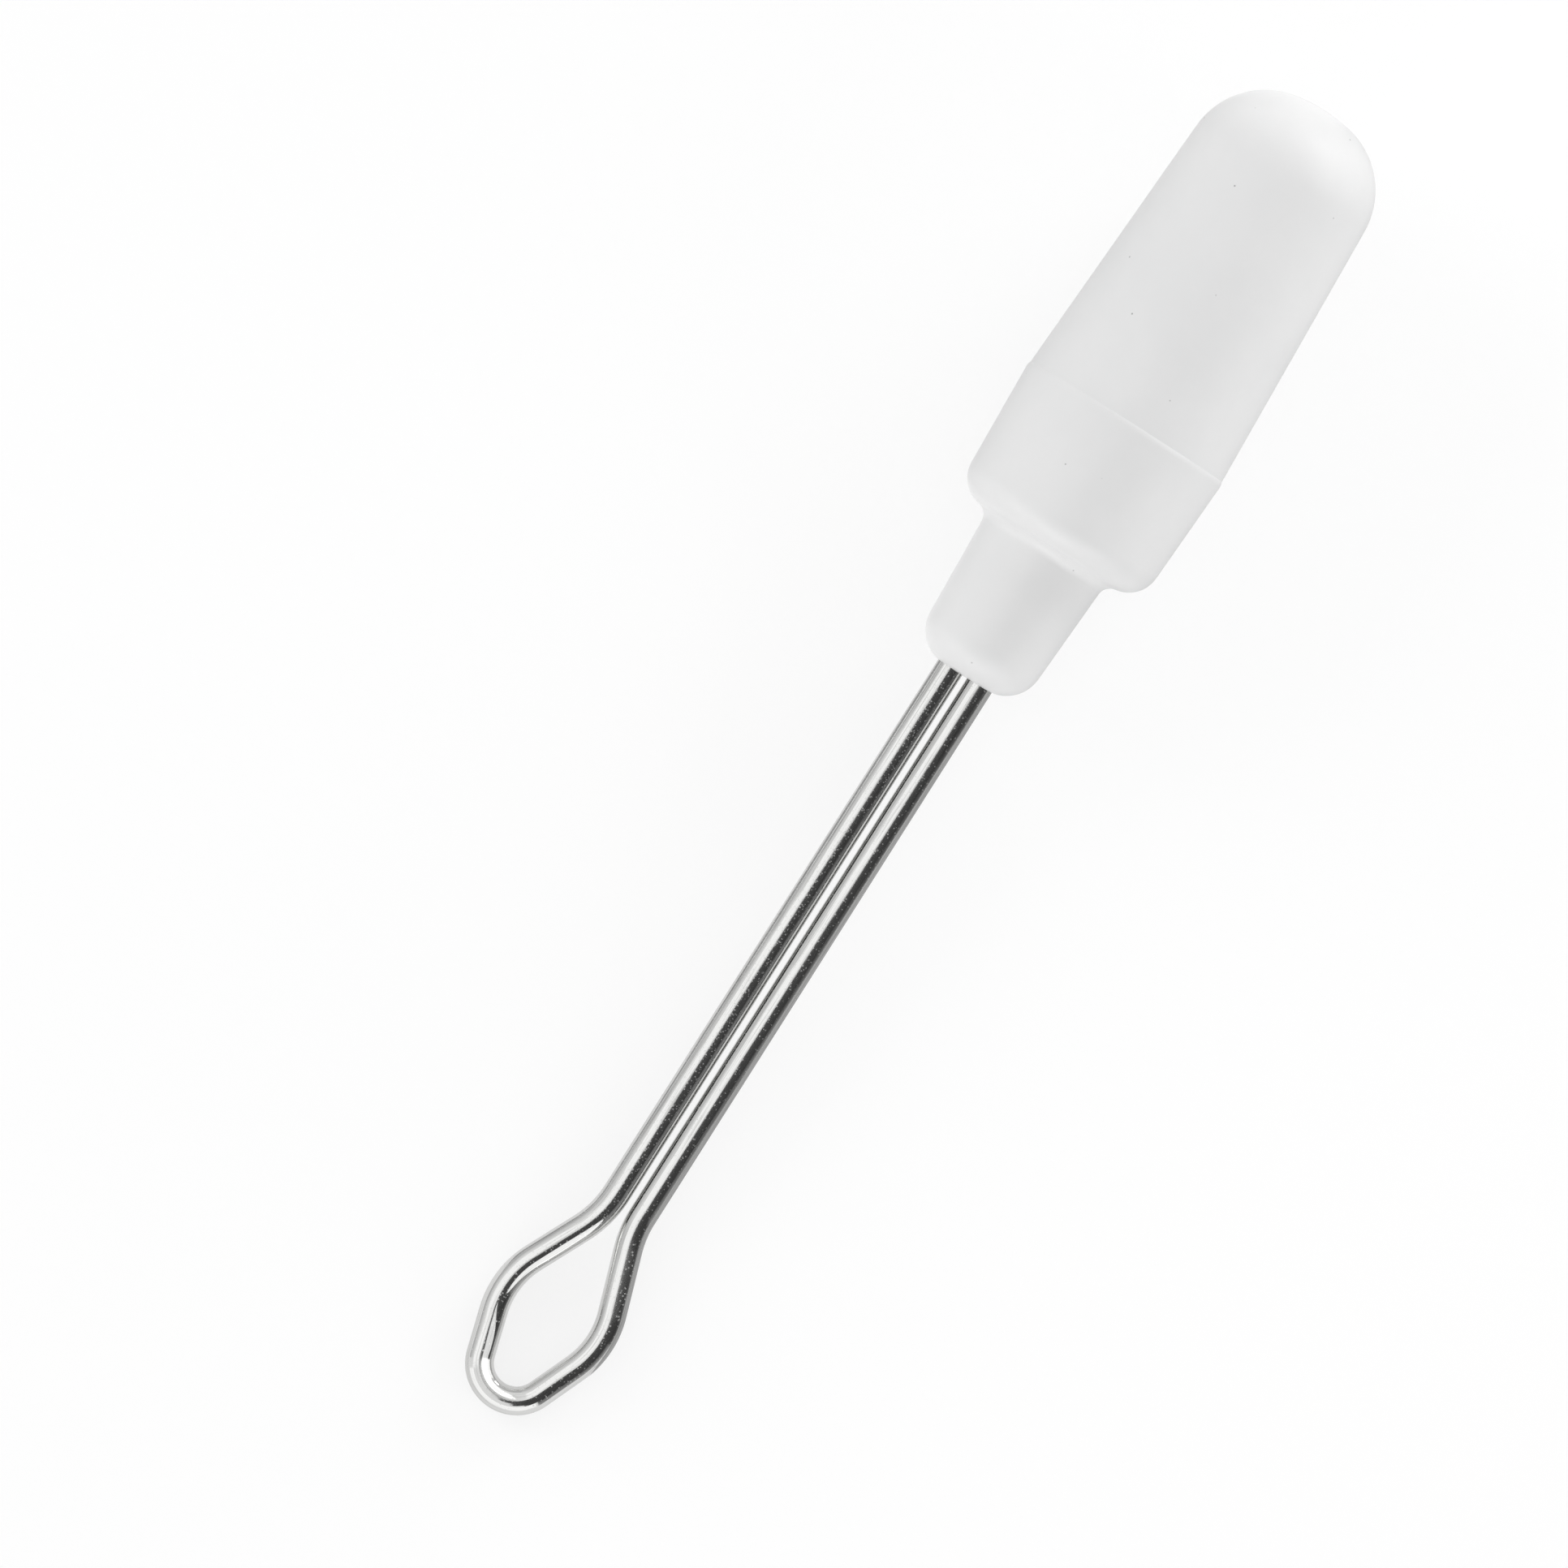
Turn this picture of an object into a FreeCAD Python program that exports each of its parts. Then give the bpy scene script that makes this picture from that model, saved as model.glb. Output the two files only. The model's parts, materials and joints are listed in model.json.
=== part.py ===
# Ear pick: one bent steel wire whose lozenge loop scoops, its two legs moulded into a white plastic handle.
# Millimetres. The pick is drawn along its own axis, from the handle's nose at x = 0 towards the dome at +x
# and the loop at -x, with the loop in the XY plane. It is then laid down as it comes to rest on a table.
import FreeCAD
import Part
import math
import os

Vector = FreeCAD.Vector

# Wire: one round length, bent in one plane
wire_diameter = 1.0
leg_gap = 0.17
leg_depth_in_handle = 12.0
nose_to_neck_bend = 22.16
neck_bend_radius = 3.91
neck_bend_to_side_bend = 3.76
loop_centreline_width = 4.22
side_bend_radius = 3.19
side_bend_to_tip_corner = 6.03
tip_bend_radius = 1.28
loop_lean_deg = 3.4

# Handle: one round moulding, widest at its parting line
nose_end_radius = 2.12
nose_corner_radius = 1.33
neck_length = 5.19
neck_draft_deg = 2.9
root_fillet_radius = 0.48
shoulder_slope_deg = 12.0
shoulder_corner_radius = 1.13
collar_length = 5.14
collar_radius_at_parting = 3.92
collar_draft_deg = 2.6
parting_step = 0.05
parting_lip_length = 0.16
parting_lip_rounding = 0.9
grip_length = 12.64
grip_draft_deg = 2.7
dome_edge_radius = 2.87
dome_crown_radius = 5.75


def rounded_edges(corners, radii):
    """Straight runs through the corners, each inner corner rounded by its own radius, or sharp at 0."""
    edges = []
    run_start = corners[0]
    for i in range(1, len(corners) - 1):
        before, corner, after = corners[i - 1], corners[i], corners[i + 1]
        radius = radii[i - 1]
        if radius == 0:
            edges.append(Part.LineSegment(run_start, corner).toShape())
            run_start = corner
            continue
        back = radius * math.tan((corner - before).getAngle(after - corner) / 2)
        to_before = (before - corner).normalize()
        to_after = (after - corner).normalize()
        arc_start = corner + to_before * back
        arc_end = corner + to_after * back
        inwards = (to_before + to_after).normalize()
        arc_middle = corner + inwards * (math.hypot(back, radius) - radius)
        edges.append(Part.LineSegment(run_start, arc_start).toShape())
        edges.append(Part.Arc(arc_start, arc_middle, arc_end).toShape())
        run_start = arc_end
    edges.append(Part.LineSegment(run_start, corners[-1]).toShape())
    return edges


# Wire centreline
wire_radius = wire_diameter / 2
leg_offset = (wire_diameter + leg_gap) / 2
neck_bend_x = -nose_to_neck_bend
side_bend_x = neck_bend_x - neck_bend_to_side_bend
tip_corner_x = side_bend_x - side_bend_to_tip_corner


def leaned(x, y):
    """A point of the loop, turned about the place where the legs part, towards +Y at the tip."""
    pivot = Vector(neck_bend_x, 0, 0)
    turn = FreeCAD.Rotation(Vector(0, 0, 1), -loop_lean_deg)
    return pivot + turn.multVec(Vector(x, y, 0) - pivot)


def wire_centreline():
    side_y = loop_centreline_width / 2
    corners = [
        Vector(leg_depth_in_handle, leg_offset, 0),
        Vector(neck_bend_x, leg_offset, 0),
        leaned(side_bend_x, side_y),
        leaned(tip_corner_x, 0),
        leaned(side_bend_x, -side_y),
        Vector(neck_bend_x, -leg_offset, 0),
        Vector(leg_depth_in_handle, -leg_offset, 0),
    ]
    radii = [neck_bend_radius, side_bend_radius, tip_bend_radius, side_bend_radius, neck_bend_radius]
    return Part.Wire(rounded_edges(corners, radii))


def loop_wire():
    """The wire itself: its round section swept along the centreline."""
    section = Part.makeCircle(wire_radius, Vector(leg_depth_in_handle, leg_offset, 0), Vector(1, 0, 0))
    return wire_centreline().makePipeShell([Part.Wire(section)], True, False)


# Handle profile
def slope(degrees):
    return math.tan(math.radians(degrees))


parting_x = neck_length + collar_length
handle_length = parting_x + grip_length
root_radius = nose_end_radius + neck_length * slope(neck_draft_deg)
grip_radius_at_parting = collar_radius_at_parting - parting_step
lip_x = parting_x - parting_lip_length
lip_radius = collar_radius_at_parting - parting_lip_length * slope(collar_draft_deg)
# The sloped shoulder leaves the neck's root and meets the collar's wall, which narrows away from the parting line
collar_radius_over_root = collar_radius_at_parting - collar_length * slope(collar_draft_deg)
shoulder_rise = (collar_radius_over_root - root_radius) / (1 - slope(shoulder_slope_deg) * slope(collar_draft_deg))
shoulder_radius = root_radius + shoulder_rise
shoulder_x = neck_length + shoulder_rise * slope(shoulder_slope_deg)


def arc_about(centre, radius, start_way, end_way):
    """The short arc about a centre, from one unit direction to another."""
    middle_way = (start_way + end_way).normalize()
    return Part.Arc(centre + start_way * radius, centre + middle_way * radius, centre + end_way * radius).toShape()


def dome_arcs():
    """The dome in two tangent arcs: the edge that leaves the grip's drafted wall, and the flatter crown."""
    draft = math.radians(grip_draft_deg)
    along_wall = Vector(math.cos(draft), -math.sin(draft), 0)
    off_wall = Vector(math.sin(draft), math.cos(draft), 0)
    along_axis = Vector(1, 0, 0)
    crown_centre = Vector(handle_length - dome_crown_radius, 0, 0)
    # The edge's centre lies its own radius inside the wall, and inside the crown by the two radii's difference
    inner_start = Vector(parting_x, grip_radius_at_parting, 0) - off_wall * dome_edge_radius
    from_crown = inner_start - crown_centre
    nearest = -from_crown.dot(along_wall)
    off_line_squared = from_crown.dot(from_crown) - nearest**2
    beyond = math.sqrt((dome_crown_radius - dome_edge_radius) ** 2 - off_line_squared)
    edge_centre = inner_start + along_wall * (nearest + beyond)
    to_crown_edge = (edge_centre - crown_centre).normalize()
    edge = arc_about(edge_centre, dome_edge_radius, off_wall, to_crown_edge)
    crown = arc_about(crown_centre, dome_crown_radius, to_crown_edge, along_axis)
    return edge_centre + off_wall * dome_edge_radius, [edge, crown]


def handle_profile():
    grip_end, dome = dome_arcs()
    corners = [
        Vector(0, 0, 0),
        Vector(0, nose_end_radius, 0),
        Vector(neck_length, root_radius, 0),
        Vector(shoulder_x, shoulder_radius, 0),
        Vector(lip_x, lip_radius, 0),
        Vector(parting_x, grip_radius_at_parting, 0),
        grip_end,
    ]
    radii = [nose_corner_radius, root_fillet_radius, shoulder_corner_radius, parting_lip_rounding, 0]
    axis = Part.LineSegment(Vector(handle_length, 0, 0), corners[0]).toShape()
    return Part.Face(Part.Wire(rounded_edges(corners, radii) + dome + [axis]))


def handle(wire):
    """The moulding, turned about the pick's axis. Its plastic closes on the wire's two legs with no gap."""
    turned = handle_profile().revolve(Vector(0, 0, 0), Vector(1, 0, 0), 360)
    [moulding] = turned.cut(wire).Solids
    return moulding


# Rest on a table: the tip of the loop and one ring of the handle touch it
def rest_angle_on(ring_x, ring_radius, ring_rounding):
    """The tilt, in radians, at which a rounded ring of the handle and the loop's tip both touch the table."""
    tip_x = wire_centreline().optimalBoundingBox(False, False).XMin
    span = ring_x - tip_x
    rise = ring_rounding - wire_radius
    return math.atan2(ring_radius, span) + math.asin(rise / math.hypot(span, ring_radius))


def rest_angle():
    """The first ring to touch sets it: the shoulder's rounding or the lip at the parting line."""
    collar_angle = math.radians(collar_draft_deg)
    corner_turn = math.pi / 2 - math.radians(shoulder_slope_deg) - collar_angle
    corner_back = shoulder_corner_radius * math.tan(corner_turn / 2)
    rounding_start_x = shoulder_x + corner_back * math.cos(collar_angle)
    rounding_start_radius = shoulder_radius + corner_back * math.sin(collar_angle)
    rounding_x = rounding_start_x + shoulder_corner_radius * math.sin(collar_angle)
    rounding_centre_radius = rounding_start_radius - shoulder_corner_radius * math.cos(collar_angle)
    on_shoulder = rest_angle_on(rounding_x, rounding_centre_radius, shoulder_corner_radius)
    on_lip = rest_angle_on(lip_x, lip_radius, 0)
    return max(on_shoulder, on_lip)


def laid_down(pieces):
    """The pick tilted about Y so that the loop's tip drops to the table, with the origin under its middle."""
    for piece in pieces.values():
        piece.rotate(Vector(0, 0, 0), Vector(0, 1, 0), -math.degrees(rest_angle()))
    box = Part.Compound(list(pieces.values())).optimalBoundingBox(False, False)
    for piece in pieces.values():
        piece.translate(Vector(-(box.XMin + box.XMax) / 2, -(box.YMin + box.YMax) / 2, -box.ZMin))
    return pieces


wire = loop_wire()
pieces = laid_down({"handle": handle(wire), "loop_wire": wire})

os.makedirs("parts", exist_ok=True)
for name, piece in pieces.items():
    piece.exportStep(f"parts/{name}.step")
    print(name, "valid", piece.isValid(), "solids", len(piece.Solids), "volume", round(piece.Volume, 3), "mm3")
print("rest angle", round(math.degrees(rest_angle()), 3), "degrees")
print("overlap", round(pieces["handle"].common(pieces["loop_wire"]).Volume, 6), "mm3")
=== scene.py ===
import json
import math

import bmesh
import bpy
from mathutils import Matrix, Vector


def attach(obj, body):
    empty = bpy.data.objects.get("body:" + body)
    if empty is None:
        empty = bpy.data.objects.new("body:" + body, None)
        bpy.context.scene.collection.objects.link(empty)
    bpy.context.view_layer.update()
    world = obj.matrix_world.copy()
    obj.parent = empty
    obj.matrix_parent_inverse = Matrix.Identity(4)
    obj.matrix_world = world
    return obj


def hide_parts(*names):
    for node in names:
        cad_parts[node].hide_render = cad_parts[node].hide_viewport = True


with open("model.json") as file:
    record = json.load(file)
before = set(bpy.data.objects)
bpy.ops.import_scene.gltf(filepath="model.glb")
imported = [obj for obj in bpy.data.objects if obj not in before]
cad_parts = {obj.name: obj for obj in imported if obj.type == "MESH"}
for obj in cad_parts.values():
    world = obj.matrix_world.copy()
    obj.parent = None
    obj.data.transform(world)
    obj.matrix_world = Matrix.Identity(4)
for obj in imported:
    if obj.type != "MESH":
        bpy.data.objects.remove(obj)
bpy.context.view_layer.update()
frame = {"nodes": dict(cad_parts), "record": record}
mm = 0.001
print("frame loaded:", ", ".join(sorted(frame["nodes"])))


# Where the pick lies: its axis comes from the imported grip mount, and the loop's plane holds it and Y
gripMount = frame["record"]["mounts"][0]
gripMiddleFromNose = 15.33 * mm
alongAxis = Vector(gripMount["axis"]).normalized()
acrossLoop = Vector((0, 1, 0))
awayFromTable = alongAxis.cross(acrossLoop)
nose = Vector(gripMount["pos_m"]) - alongAxis * gripMiddleFromNose
placement = Matrix.Translation(nose) @ Matrix((alongAxis, acrossLoop, awayFromTable)).transposed().to_4x4()
drawnToPlace = placement @ Matrix.Scale(mm, 4)  # pieces are drawn in millimetres along X, nose at zero


# Drawing: a pen pulls a point or a ring of wire along straight runs and round bends
def startPen(at, heading, tip, layer=None):
    return {"at": Vector(at), "heading": Vector(heading), "tip": tip, "layer": layer, "travelled": 0.0}


def spinTip(bm, pen, centre=(0, 0, 0), shift=(0, 0, 0), turn=0.0, distance=0.0):
    spun = bmesh.ops.spin(
        bm, geom=pen["tip"], cent=centre, axis=(0, 0, 1), dvec=shift, angle=turn, steps=1,
        use_merge=False, use_normal_flip=False, use_duplicate=False,
    )
    pen["tip"] = spun["geom_last"]
    pen["travelled"] += distance
    if pen["layer"] is not None:  # each ring remembers how far along the wire it is
        for vert in pen["tip"]:
            if isinstance(vert, bmesh.types.BMVert):
                vert[pen["layer"]] = (pen["travelled"], vert[pen["layer"]].y, vert[pen["layer"]].z)


def pullStraight(bm, pen, length):
    shift = pen["heading"] * length
    spinTip(bm, pen, shift=shift, distance=length)
    pen["at"] += shift


def pullBend(bm, pen, radius, turn, arcStep):
    toLeft = Vector((-pen["heading"].y, pen["heading"].x, 0))
    centre = pen["at"] + toLeft * math.copysign(radius, turn)
    steps = math.ceil(abs(turn) / arcStep)
    for _ in range(steps):
        spinTip(bm, pen, centre=centre, turn=turn / steps, distance=radius * abs(turn) / steps)
    bend = Matrix.Rotation(turn, 3, "Z")
    pen["at"] = centre + bend @ (pen["at"] - centre)
    pen["heading"] = bend @ pen["heading"]


def pullThrough(bm, pen, corners, radii, arcStep):
    for corner, onward, radius in zip(corners, corners[1:], radii):
        way = (onward - corner).normalized()
        turn = math.atan2(pen["heading"].cross(way).z, pen["heading"].dot(way))
        back = radius * math.tan(abs(turn) / 2)
        pullStraight(bm, pen, (corner - pen["at"]).length - back)
        pullBend(bm, pen, radius, turn, arcStep)
    pullStraight(bm, pen, (corners[-1] - pen["at"]).length)


def placeMesh(bm, name, material):
    mesh = bpy.data.meshes.new(name)
    bm.to_mesh(mesh)
    bm.free()
    mesh.materials.append(material)
    thing = bpy.data.objects.new(name, mesh)
    bpy.context.scene.collection.objects.link(thing)
    return thing


pieceMergeWithin = 0.0002  # drawn millimetres


def finishPiece(bm, name, node, material, creaseAngle):
    bmesh.ops.remove_doubles(bm, verts=bm.verts, dist=pieceMergeWithin)
    bmesh.ops.recalc_face_normals(bm, faces=bm.faces)
    bm.transform(drawnToPlace)
    piece = placeMesh(bm, name, material)
    piece.data.shade_smooth()
    piece.data.set_sharp_from_angle(angle=creaseAngle)
    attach(piece, "root")
    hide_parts(node)
    print(name, "has", len(piece.data.polygons), "faces")


# Node helpers
def newNode(nodes, kind, **values):
    node = nodes.new(kind)
    for name, value in values.items():
        setattr(node, name, value)
    return node


def newGroup(name, inputs, outputs):
    group = bpy.data.node_groups.new(name, "ShaderNodeTree")
    for way, sockets in (("INPUT", inputs), ("OUTPUT", outputs)):
        for label, kind in sockets.items():
            group.interface.new_socket(label, in_out=way, socket_type="NodeSocket" + kind)
    return group, group.nodes.new("NodeGroupInput"), group.nodes.new("NodeGroupOutput")


def mapRange(tree, value, low, high, toLow, toHigh):
    node = newNode(tree.nodes, "ShaderNodeMapRange", clamp=True)
    tree.links.new(value, node.inputs["Value"])
    for label, number in (("From Min", low), ("From Max", high), ("To Min", toLow), ("To Max", toHigh)):
        node.inputs[label].default_value = number
    return node.outputs["Result"]


# A Mix node's colour sockets share their names with its other sockets, so they go by number
mixSockets = {"first": 6, "second": 7, "result": 2}


def mixColours(tree, factor, first, second):
    node = newNode(tree.nodes, "ShaderNodeMix", data_type="RGBA")
    tree.links.new(factor, node.inputs["Factor"])
    for label, colour in (("first", first), ("second", second)):
        socket = node.inputs[mixSockets[label]]
        if isinstance(colour, tuple):
            socket.default_value = (*colour, 1)
        else:
            tree.links.new(colour, socket)
    return node.outputs[mixSockets["result"]]


# Specks: small round spots, scattered over a share of the cells of a Voronoi pattern
def buildSpecks():
    inputs = {"Vector": "Vector", "Cells per unit": "Float", "Share": "Float", "Size": "Float"}
    group, into, out = newGroup("specks", inputs, {"Mask": "Float"})
    cells = newNode(group.nodes, "ShaderNodeTexVoronoi", feature="F1")
    group.links.new(into.outputs["Vector"], cells.inputs["Vector"])
    group.links.new(into.outputs["Cells per unit"], cells.inputs["Scale"])
    luck = newNode(group.nodes, "ShaderNodeSeparateColor")
    group.links.new(cells.outputs["Color"], luck.inputs["Color"])
    chosen = newNode(group.nodes, "ShaderNodeMath", operation="LESS_THAN")
    group.links.new(luck.outputs["Red"], chosen.inputs[0])
    group.links.new(into.outputs["Share"], chosen.inputs[1])
    spot = newNode(group.nodes, "ShaderNodeMapRange", interpolation_type="SMOOTHSTEP")
    group.links.new(cells.outputs["Distance"], spot.inputs["Value"])
    group.links.new(into.outputs["Size"], spot.inputs["From Max"])
    spot.inputs["To Min"].default_value = 1
    spot.inputs["To Max"].default_value = 0
    both = newNode(group.nodes, "ShaderNodeMath", operation="MULTIPLY")
    group.links.new(chosen.outputs[0], both.inputs[0])
    group.links.new(spot.outputs["Result"], both.inputs[1])
    group.links.new(both.outputs[0], out.inputs["Mask"])
    return group


# Fine marks: noise with its own scale along each axis, for marks along the steel, and clouds and grain
fineMarksRoughness = 0.6


def buildFineMarks():
    inputs = {"Vector": "Vector", "Stretch": "Vector", "Detail": "Float"}
    group, into, out = newGroup("fineMarks", inputs, {"Mask": "Float"})
    stretched = newNode(group.nodes, "ShaderNodeVectorMath", operation="MULTIPLY")
    group.links.new(into.outputs["Vector"], stretched.inputs[0])
    group.links.new(into.outputs["Stretch"], stretched.inputs[1])
    noise = newNode(group.nodes, "ShaderNodeTexNoise")
    noise.inputs["Scale"].default_value = 1
    noise.inputs["Roughness"].default_value = fineMarksRoughness
    group.links.new(stretched.outputs["Vector"], noise.inputs["Vector"])
    group.links.new(into.outputs["Detail"], noise.inputs["Detail"])
    group.links.new(noise.outputs["Fac"], out.inputs["Mask"])
    return group


specksGroup = buildSpecks()
fineMarksGroup = buildFineMarks()


def placeSpecks(tree, vector, perUnit, share, size):
    node = newNode(tree.nodes, "ShaderNodeGroup", node_tree=specksGroup)
    tree.links.new(vector, node.inputs["Vector"])
    node.inputs["Cells per unit"].default_value = perUnit
    node.inputs["Size"].default_value = size
    if isinstance(share, float):
        node.inputs["Share"].default_value = share
    else:
        tree.links.new(share, node.inputs["Share"])
    return node.outputs["Mask"]


def placeFineMarks(tree, vector, stretch, detail):
    node = newNode(tree.nodes, "ShaderNodeGroup", node_tree=fineMarksGroup)
    tree.links.new(vector, node.inputs["Vector"])
    node.inputs["Stretch"].default_value = stretch
    node.inputs["Detail"].default_value = detail
    return node.outputs["Mask"]


def newMaterial(name):
    material = bpy.data.materials.new(name)
    material.use_nodes = True
    return material, material.node_tree, material.node_tree.nodes["Principled BSDF"]


def addBump(tree, shader, height, strength, depth):
    bump = newNode(tree.nodes, "ShaderNodeBump")
    bump.inputs["Strength"].default_value = strength
    bump.inputs["Distance"].default_value = depth
    tree.links.new(height, bump.inputs["Height"])
    tree.links.new(bump.outputs["Normal"], shader.inputs["Normal"])


# Satin white plastic
plasticLook = {
    "colour": (0.80, 0.80, 0.80),
    "cloudColour": (0.775, 0.777, 0.778),
    "cloudsPerMetre": 260,
    "cloudDetail": 3,
    "cloudRange": (0.35, 0.65),  # of the noise, from none to full
    "speckColour": (0.22, 0.22, 0.22),
    "speckCellsPerMetre": 1100,
    "speckShare": 0.5,
    "speckSize": 0.055,
    "roughness": (0.31, 0.41),
    "grainPerMetre": 5200,
    "grainDetail": 5,
    "grainRange": (0.3, 0.7),
    "grainDepth": 0.012 * mm,
    "grainStrength": 0.16,
    "refraction": 1.46,
}


def buildPlastic(look):
    material, tree, shader = newMaterial("satinWhitePlastic")
    place = newNode(tree.nodes, "ShaderNodeTexCoord").outputs["Object"]
    clouds = placeFineMarks(tree, place, (look["cloudsPerMetre"],) * 3, look["cloudDetail"])
    cloudiness = mapRange(tree, clouds, *look["cloudRange"], 0, 1)
    colour = mixColours(tree, cloudiness, look["colour"], look["cloudColour"])
    specks = placeSpecks(tree, place, look["speckCellsPerMetre"], look["speckShare"], look["speckSize"])
    colour = mixColours(tree, specks, colour, look["speckColour"])
    tree.links.new(colour, shader.inputs["Base Color"])
    grain = placeFineMarks(tree, place, (look["grainPerMetre"],) * 3, look["grainDetail"])
    roughness = mapRange(tree, grain, *look["grainRange"], *look["roughness"])
    tree.links.new(roughness, shader.inputs["Roughness"])
    addBump(tree, shader, grain, look["grainStrength"], look["grainDepth"])
    shader.inputs["IOR"].default_value = look["refraction"]
    return material


# Bright drawn steel, whose marks follow the wire as if it were straight, in millimetres
steelLook = {
    "colour": (0.66, 0.66, 0.652),
    "markColour": (0.50, 0.50, 0.49),
    "markStretch": (0.35, 16, 16),
    "markDetail": 5,
    "markColourRange": (0.50, 0.66),  # of the noise, from plain to marked
    "markRoughnessRange": (0.3, 0.75),
    "pitCellsPerMm": 11,
    "pitSize": 0.55,
    "pitShares": (0.75, 0.35),  # the first leg is much more pitted than the rest
    "pitsThinOut": (33.0, 36.0),  # from here to here along the wire
    "pitRoughness": 0.32,
    "roughness": (0.075, 0.14),
    "markDepth": 0.002 * mm,
    "markStrength": 0.25,
}


def buildSteel(look):
    material, tree, shader = newMaterial("brightDrawnSteel")
    straightened = newNode(tree.nodes, "ShaderNodeAttribute", attribute_name="straightened").outputs["Vector"]
    marks = placeFineMarks(tree, straightened, look["markStretch"], look["markDetail"])
    marked = mapRange(tree, marks, *look["markColourRange"], 0, 1)
    colour = mixColours(tree, marked, look["colour"], look["markColour"])
    tree.links.new(colour, shader.inputs["Base Color"])
    shader.inputs["Metallic"].default_value = 1
    alongWire = newNode(tree.nodes, "ShaderNodeSeparateXYZ")
    tree.links.new(straightened, alongWire.inputs["Vector"])
    share = mapRange(tree, alongWire.outputs["X"], *look["pitsThinOut"], *look["pitShares"])
    pits = placeSpecks(tree, straightened, look["pitCellsPerMm"], share, look["pitSize"])
    dull = newNode(tree.nodes, "ShaderNodeMath", operation="MULTIPLY_ADD")
    tree.links.new(pits, dull.inputs[0])
    dull.inputs[1].default_value = look["pitRoughness"]
    roughness = mapRange(tree, marks, *look["markRoughnessRange"], *look["roughness"])
    tree.links.new(roughness, dull.inputs[2])
    tree.links.new(dull.outputs[0], shader.inputs["Roughness"])
    addBump(tree, shader, marks, look["markStrength"], look["markDepth"])
    return material


# Loop wire: one length of round wire, from the end of one leg round the loop to the end of the other
wireSizes = {
    "radius": 0.5,
    "legOffset": 0.585,
    "legDepthInHandle": 12.0,
    "noseToNeckBend": 22.16,
    "neckBendRadius": 3.91,
    "neckBendToSideBend": 3.76,
    "sideBendOffset": 2.11,
    "sideBendRadius": 3.19,
    "sideBendToTipCorner": 6.03,
    "tipBendRadius": 1.28,
    "lean": math.radians(3.4),
    "segmentsRound": 56,
    "arcStep": math.radians(2.5),
    "creaseAngle": math.radians(30),
}


def loopCorners(s):
    neck = Vector((-s["noseToNeckBend"], 0, 0))
    lean = Matrix.Rotation(-s["lean"], 3, "Z")  # the loop's tip leans towards +Y
    side = Vector((-s["neckBendToSideBend"], s["sideBendOffset"], 0))
    tip = Vector((-s["neckBendToSideBend"] - s["sideBendToTipCorner"], 0, 0))
    offset = Vector((0, s["legOffset"], 0))
    legEnd = Vector((s["legDepthInHandle"], 0, 0))
    mirrored = Vector((side.x, -side.y, 0))
    around = [neck + lean @ corner for corner in (side, tip, mirrored)]
    return [neck + offset, *around, neck - offset, legEnd - offset]


def buildLoopWire(s, material):
    bm = bmesh.new()
    straightened = bm.verts.layers.float_vector.new("straightened")
    start = Vector((s["legDepthInHandle"], s["legOffset"], 0))
    upright = Matrix.Translation(start) @ Matrix.Rotation(math.radians(90), 4, "Y")
    circle = bmesh.ops.create_circle(bm, segments=s["segmentsRound"], radius=s["radius"], matrix=upright)
    ring = circle["verts"]
    for vert in ring:
        vert[straightened] = (0, vert.co.y - start.y, vert.co.z)
    pen = startPen(start, (-1, 0, 0), ring + bm.edges[:], straightened)
    bends = ("neckBendRadius", "sideBendRadius", "tipBendRadius", "sideBendRadius", "neckBendRadius")
    pullThrough(bm, pen, loopCorners(s), [s[name] for name in bends], s["arcStep"])
    openEnds = [edge for edge in bm.edges if edge.is_boundary]
    bmesh.ops.holes_fill(bm, edges=openEnds, sides=0)
    finishPiece(bm, "loopWire", "loop_wire", material, s["creaseAngle"])


# Handle: one outline turned about the pick's axis
handleSizes = {
    "noseEndRadius": 2.12,
    "noseCornerRadius": 1.33,
    "neckLength": 5.19,
    "neckDraft": math.radians(2.9),
    "rootFilletRadius": 0.48,
    "shoulderSlope": math.radians(12),
    "shoulderCornerRadius": 1.13,
    "collarLength": 5.14,
    "collarRadiusAtParting": 3.92,
    "collarDraft": math.radians(2.6),
    "partingStep": 0.05,
    "partingLipLength": 0.10,
    "partingLipRounding": 0.40,
    "gripLength": 12.64,
    "gripDraft": math.radians(2.7),
    "domeEdgeRadius": 2.87,
    "domeCrownRadius": 5.75,
    "arcStep": math.radians(3),
    "turnSteps": 176,
    "creaseAngle": math.radians(8),
}


def handleCorners(s):
    partingX = s["neckLength"] + s["collarLength"]
    rootRadius = s["noseEndRadius"] + s["neckLength"] * math.tan(s["neckDraft"])
    collarTaper = math.tan(s["collarDraft"])
    overRoot = s["collarRadiusAtParting"] - s["collarLength"] * collarTaper
    rise = (overRoot - rootRadius) / (1 - math.tan(s["shoulderSlope"]) * collarTaper)
    lipLength = s["partingLipLength"]
    return [
        Vector((0, s["noseEndRadius"], 0)),
        Vector((s["neckLength"], rootRadius, 0)),
        Vector((s["neckLength"] + rise * math.tan(s["shoulderSlope"]), rootRadius + rise, 0)),
        Vector((partingX - lipLength, s["collarRadiusAtParting"] - lipLength * collarTaper, 0)),
        Vector((partingX, s["collarRadiusAtParting"] - s["partingStep"], 0)),
    ]


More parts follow.
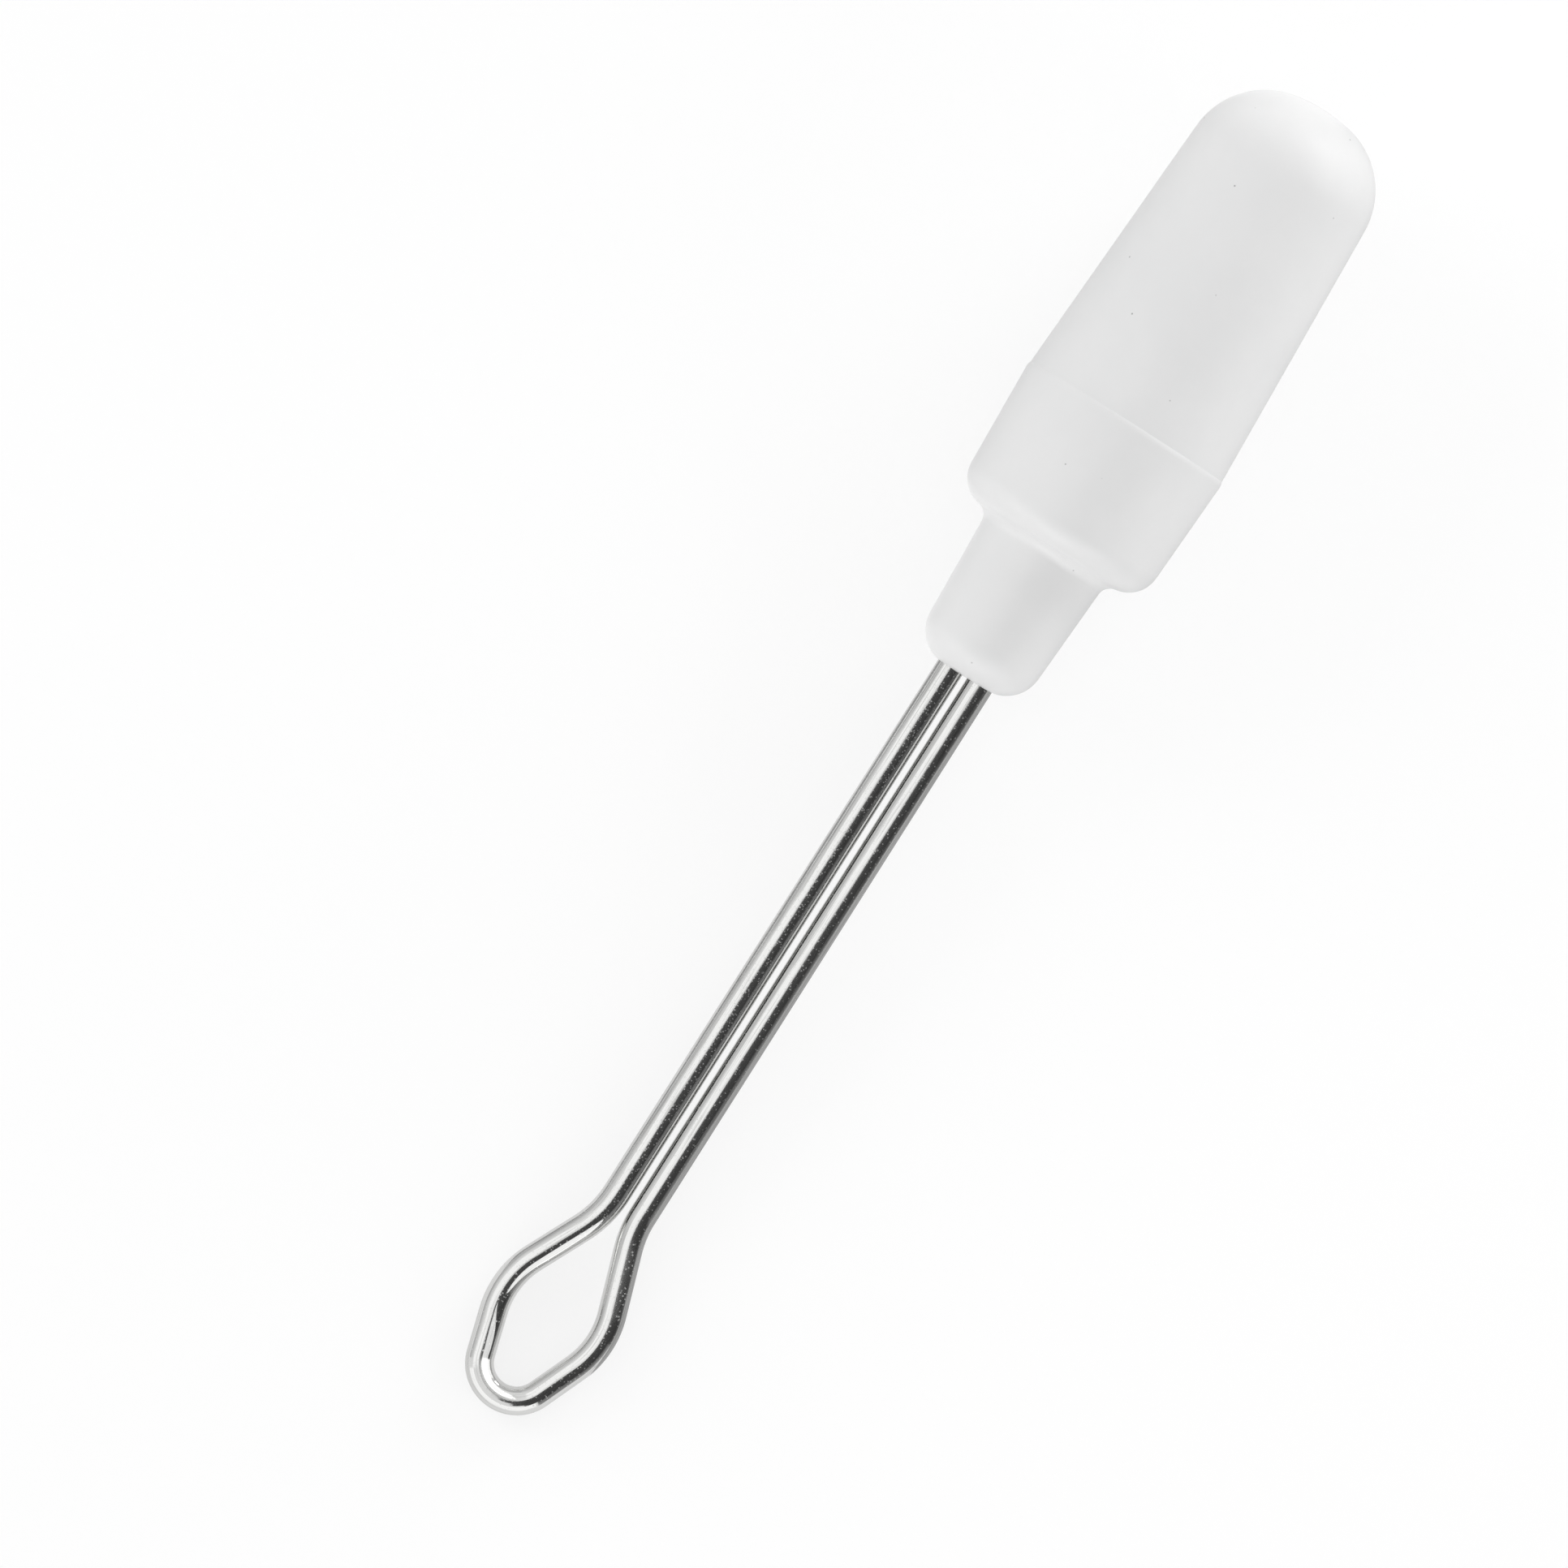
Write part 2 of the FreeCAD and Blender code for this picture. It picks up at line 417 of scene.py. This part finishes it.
def domeRun(s, gripStart):
    # the edge arc leaves the grip's wall and meets the flatter crown arc, whose centre is on the axis
    handleLength = s["neckLength"] + s["collarLength"] + s["gripLength"]
    alongWall = Vector((math.cos(s["gripDraft"]), -math.sin(s["gripDraft"]), 0))
    offWall = Vector((math.sin(s["gripDraft"]), math.cos(s["gripDraft"]), 0))
    crownCentre = Vector((handleLength - s["domeCrownRadius"], 0, 0))
    innerStart = gripStart - offWall * s["domeEdgeRadius"]
    fromCrown = innerStart - crownCentre
    nearest = -fromCrown.dot(alongWall)
    between = s["domeCrownRadius"] - s["domeEdgeRadius"]
    wallLength = nearest + math.sqrt(between**2 - fromCrown.length_squared + nearest**2)
    toJoint = innerStart + alongWall * wallLength - crownCentre
    return alongWall, wallLength, math.atan2(toJoint.y, toJoint.x)


def buildHandle(s, material):
    bm = bmesh.new()
    corners = handleCorners(s)
    alongWall, wallLength, jointAngle = domeRun(s, corners[-1])
    pen = startPen((0, 0, 0), (0, 1, 0), [bm.verts.new((0, 0, 0))])
    roundings = ("noseCornerRadius", "rootFilletRadius", "shoulderCornerRadius", "partingLipRounding")
    pullThrough(bm, pen, corners, [s[name] for name in roundings], s["arcStep"])
    pen["heading"] = alongWall  # the sharp inner edge of the parting step
    pullStraight(bm, pen, wallLength)
    pullBend(bm, pen, s["domeEdgeRadius"], jointAngle + s["gripDraft"] - math.pi / 2, s["arcStep"])
    pullBend(bm, pen, s["domeCrownRadius"], -jointAngle, s["arcStep"])
    bmesh.ops.spin(
        bm, geom=bm.verts[:] + bm.edges[:], cent=(0, 0, 0), axis=(1, 0, 0), dvec=(0, 0, 0), angle=math.tau,
        steps=s["turnSteps"], use_merge=True, use_normal_flip=False, use_duplicate=False,
    )
    finishPiece(bm, "handle", "handle", material, s["creaseAngle"])


buildLoopWire(wireSizes, buildSteel(steelLook))
buildHandle(handleSizes, buildPlastic(plasticLook))


# Studio
studio = {
    "floorSide": 1.6,
    "floorColour": (0.9, 0.9, 0.9),
    "floorColourSeen": (0.3, 0.3, 0.3),
    "floorRoughness": 0.9,
    "floorGlow": 0.715,
    "worldStrength": 0.67,
}


def seenDirectly(tree, lit, seen):
    # one value for the light that falls on things, another for what is looked at or mirrored
    path = newNode(tree.nodes, "ShaderNodeLightPath")
    direct = path.outputs["Is Camera Ray"]
    for label in ("Is Glossy Ray", "Is Transmission Ray"):
        either = newNode(tree.nodes, "ShaderNodeMath", operation="MAXIMUM")
        tree.links.new(direct, either.inputs[0])
        tree.links.new(path.outputs[label], either.inputs[1])
        direct = either.outputs[0]
    return mapRange(tree, direct, 0, 1, lit, seen)


def buildFloor(s):
    material, tree, shader = newMaterial("paleTable")
    colour = mixColours(tree, seenDirectly(tree, 0, 1), s["floorColour"], s["floorColourSeen"])
    tree.links.new(colour, shader.inputs["Base Color"])
    shader.inputs["Roughness"].default_value = s["floorRoughness"]
    shader.inputs["Specular IOR Level"].default_value = 0
    shader.inputs["Emission Color"].default_value = (1, 1, 1, 1)
    tree.links.new(seenDirectly(tree, 0, s["floorGlow"]), shader.inputs["Emission Strength"])
    bm = bmesh.new()
    bmesh.ops.create_grid(bm, x_segments=1, y_segments=1, size=s["floorSide"] / 2)
    floor = placeMesh(bm, "tableTop", material)


def buildWorld(s):
    world = bpy.data.worlds.new("softRoom")
    world.use_nodes = True
    tree = world.node_tree
    background = tree.nodes["Background"]
    background.inputs["Color"].default_value = (1, 1, 1, 1)
    tree.links.new(seenDirectly(tree, s["worldStrength"], 1), background.inputs["Strength"])
    bpy.context.scene.world = world


# Reflector cards: parts of a wide dome over the pick, which show only where they are mirrored.
# Tilt is measured from the line of sight; turn goes round it, from the loop's -Y side towards the handle.
cardDome = {"radius": 2000, "overX": -50, "steps": 16, "mergeWithin": 0.01}  # lengths in drawn millimetres
domeCards = {
    "softTop": {"tilt": (7, 50), "turn": (140, 218), "greyTop": 1.32, "greyFoot": 1.34},
    "darkFan": {"tilt": (0, 58), "turn": (-30, 21.5), "greyTop": 0.08, "greyFoot": 0.05},
    "darkFanFoot": {"tilt": (0, 50), "turn": (-48, -30), "greyTop": 0.08, "greyFoot": 0.06},
    "darkFanEnd": {"tilt": (0, 40), "turn": (-66, -48), "greyTop": 0.08, "greyFoot": 0.08},
    "darkFanTip": {"tilt": (0, 22), "turn": (-84, -66), "greyTop": 0.08, "greyFoot": 0.12},
    "darkTongue": {"tilt": (58, 80), "turn": (1, 21.5), "greyTop": 0.05, "greyFoot": 0.09},
    "tongueEnd": {"tilt": (80, 94), "turn": (1, 23), "greyTop": 0.14, "greyFoot": 0.45},
    "greySide": {"tilt": (58, 94), "turn": (-30, 1), "greyTop": 0.16, "greyFoot": 0.50},
    "fadingSide": {"tilt": (52, 92), "turn": (133, 205), "greyTop": 1.05, "greyFoot": 0.45},
    "greyEnd": {"tilt": (68, 92), "turn": (62, 133), "greyTop": 0.70, "greyFoot": 0.55},
    "paleFan": {"tilt": (12, 46), "turn": (55, 120), "greyTop": 0.75, "greyFoot": 0.80},
    "softBoxAtDome": {"tilt": (46, 92), "turn": (23, 62), "greyTop": 1.45, "greyFoot": 1.40},
    "softBoxAtLoop": {"tilt": (50, 92), "turn": (218, 327), "greyTop": 1.40, "greyFoot": 1.30},
}
flatCardFade = 0.01 * mm  # the fade of a flat card still needs some height
floorCardHeight = 0.02  # just over the table
floorCards = {
    "greyFloor": {"fromX": -27, "toX": 60, "fromY": -1.5, "toY": -90, "grey": 0.50},
    "thinFloor": {"fromX": -24, "toX": 60, "fromY": 5, "toY": 22, "grey": 0.45},
}


def hideFrom(thing, rays):
    for ray in rays:
        setattr(thing, "visible_" + ray, False)


def finishCard(bm, name, greyTop, greyFoot):
    material = bpy.data.materials.new(name + "Paper")
    material.use_nodes = True
    tree = material.node_tree
    tree.nodes.clear()
    heights = [vert.co.z for vert in bm.verts]
    foot, top = min(heights), max(heights) + flatCardFade
    place = newNode(tree.nodes, "ShaderNodeTexCoord").outputs["Object"]
    height = newNode(tree.nodes, "ShaderNodeSeparateXYZ")
    tree.links.new(place, height.inputs["Vector"])
    glow = newNode(tree.nodes, "ShaderNodeEmission")
    fade = mapRange(tree, height.outputs["Z"], foot, top, greyFoot, greyTop)
    tree.links.new(fade, glow.inputs["Strength"])
    out = newNode(tree.nodes, "ShaderNodeOutputMaterial")
    tree.links.new(glow.outputs["Emission"], out.inputs["Surface"])
    card = placeMesh(bm, name, material)
    hideFrom(card, ("camera", "diffuse", "transmission", "volume_scatter", "shadow"))


def sweep(bm, axis, fromAngle, toAngle, steps):
    begin = Matrix.Rotation(math.radians(fromAngle), 3, axis)
    bmesh.ops.rotate(bm, cent=(0, 0, 0), matrix=begin, verts=bm.verts)
    bmesh.ops.spin(
        bm, geom=bm.verts[:] + bm.edges[:], cent=(0, 0, 0), axis=axis, dvec=(0, 0, 0),
        angle=math.radians(toAngle - fromAngle), steps=steps,
        use_merge=False, use_normal_flip=False, use_duplicate=False,
    )


def buildDomeCard(name, s):
    bm = bmesh.new()
    bm.verts.new((0, 0, cardDome["radius"]))
    for axis, span in (((1, 0, 0), s["tilt"]), ((0, 0, 1), s["turn"])):
        sweep(bm, Vector(axis), *span, steps=cardDome["steps"])
    bmesh.ops.remove_doubles(bm, verts=bm.verts, dist=cardDome["mergeWithin"])
    bm.transform(drawnToPlace @ Matrix.Translation((cardDome["overX"], 0, 0)))
    finishCard(bm, name, s["greyTop"], s["greyFoot"])


def buildFloorCard(name, s):
    bm = bmesh.new()
    ends = [bm.verts.new((x, s["fromY"], floorCardHeight)) for x in (s["fromX"], s["toX"])]
    edge = bm.edges.new(ends)
    made = bmesh.ops.extrude_edge_only(bm, edges=[edge])["geom"]
    moved = [item for item in made if isinstance(item, bmesh.types.BMVert)]
    bmesh.ops.translate(bm, verts=moved, vec=(0, s["toY"] - s["fromY"], 0))
    bm.transform(Matrix.Translation((nose.x, nose.y, 0)) @ Matrix.Scale(mm, 4))
    finishCard(bm, name, s["grey"], s["grey"])


# Lamps for the plastic and the table, in metres and watts. Only domeSpark is mirrored too.
lamps = {
    "domeSpark": {
        "fromNose": (0.94, -0.27, 0.17), "distance": 0.25, "size": (0.05, 0.05), "power": 0.026,
        "mirrored": True,
    },
    "domeLamp": {
        "fromNose": (0.94, -0.26, 0.18), "distance": 0.25, "size": (0.14, 0.12), "power": 0.218,
        "mirrored": False,
    },
    "leftLamp": {
        "fromNose": (0.10, 0.93, 0.36), "distance": 0.45, "size": (0.30, 0.30), "power": 0.55,
        "mirrored": False,
    },
    "rightLamp": {
        "fromNose": (0.05, -0.95, 0.30), "distance": 0.35, "size": (0.20, 0.16), "power": 0.17,
        "mirrored": False,
    },
    "loopLamp": {
        "fromNose": (-0.97, -0.05, 0.18), "distance": 0.35, "size": (0.16, 0.12), "power": 0.44,
        "mirrored": False,
    },
}


def newAreaLamp(name, shape, size, power):
    light = bpy.data.lights.new(name, "AREA")
    light.shape = shape
    light.size, light.size_y = size
    light.energy = power
    lamp = bpy.data.objects.new(name, light)
    bpy.context.scene.collection.objects.link(lamp)
    return lamp


def buildLamp(name, s):
    lamp = newAreaLamp(name, "RECTANGLE", s["size"], s["power"])
    lamp.visible_glossy = s["mirrored"]
    way = (placement.to_3x3() @ Vector(s["fromNose"])).normalized()
    lamp.location = nose + way * s["distance"]
    lamp.rotation_euler = (-way).to_track_quat("-Z", "Y").to_euler()


# Small upright lamps close over the loop's opening, for the bright stripes inside its first half.
# They face that half only and show only where they are mirrored; places are in drawn millimetres.
stripLamps = {
    "stripAtNeck": {"start": (-22.6, -0.53), "end": (-26.2, 1.19), "heights": (0.45, 2.0), "grey": 1.25},
    "stripAtTip": {"start": (-26.6, 1.71), "end": (-28.8, -0.08), "heights": (0.7, 4.0), "grey": 1.0},
}


def buildStripLamp(name, s):
    low, high = s["heights"]
    start, end = Vector((*s["start"], 0)), Vector((*s["end"], 0))
    up = Vector((0, 0, 1))
    middle = (start + end + up * (low + high)) / 2
    along = (end - start).normalized()
    size = ((high - low) * mm, (end - start).length * mm)
    area = math.pi / 4 * size[0] * size[1]
    power = math.pi * s["grey"] * area  # what gives the lamp this brightness
    lamp = newAreaLamp(name, "ELLIPSE", size, power)  # its ends taper, as the stripes do
    turned = Matrix((up, along, up.cross(along))).transposed().to_4x4()
    lamp.matrix_world = placement @ Matrix.Translation(middle * mm) @ turned
    hideFrom(lamp, ("camera", "diffuse", "transmission", "volume_scatter"))


buildFloor(studio)
buildWorld(studio)
for name, s in domeCards.items():
    buildDomeCard(name, s)
for name, s in floorCards.items():
    buildFloorCard(name, s)
for name, s in lamps.items():
    buildLamp(name, s)
for name, s in stripLamps.items():
    buildStripLamp(name, s)
print("studio ready")


# Camera: square on to the loop's plane, turned so that the pick runs from lower left to upper right
cameraView = {
    "lens": 600,
    "sensor": 36,
    "frameWidth": 53.67 * mm,  # what the frame takes in at the pick's axis
    "lookAt": (-6.415, 3.252, 0),  # drawn millimetres
    "rollFromAxis": math.radians(57.62),  # the pick's axis climbs this steeply in the picture
    "clip": (0.01, 20),  # in camera distances
}


def buildCamera(s):
    view = bpy.data.cameras.new("photoCamera")
    view.lens = s["lens"]
    view.sensor_width = s["sensor"]
    distance = s["frameWidth"] * s["lens"] / s["sensor"]
    view.clip_start, view.clip_end = (distance * share for share in s["clip"])
    camera = bpy.data.objects.new("photoCamera", view)
    cosRoll, sinRoll = math.cos(s["rollFromAxis"]), math.sin(s["rollFromAxis"])
    pictureRight = alongAxis * cosRoll - acrossLoop * sinRoll
    pictureUp = alongAxis * sinRoll + acrossLoop * cosRoll
    turned = Matrix((pictureRight, pictureUp, awayFromTable)).transposed().to_4x4()
    aim = drawnToPlace @ Vector(s["lookAt"])
    camera.matrix_world = Matrix.Translation(aim + awayFromTable * distance) @ turned
    bpy.context.scene.collection.objects.link(camera)
    bpy.context.scene.camera = camera


buildCamera(cameraView)
bpy.context.scene.view_settings.view_transform = "Standard"
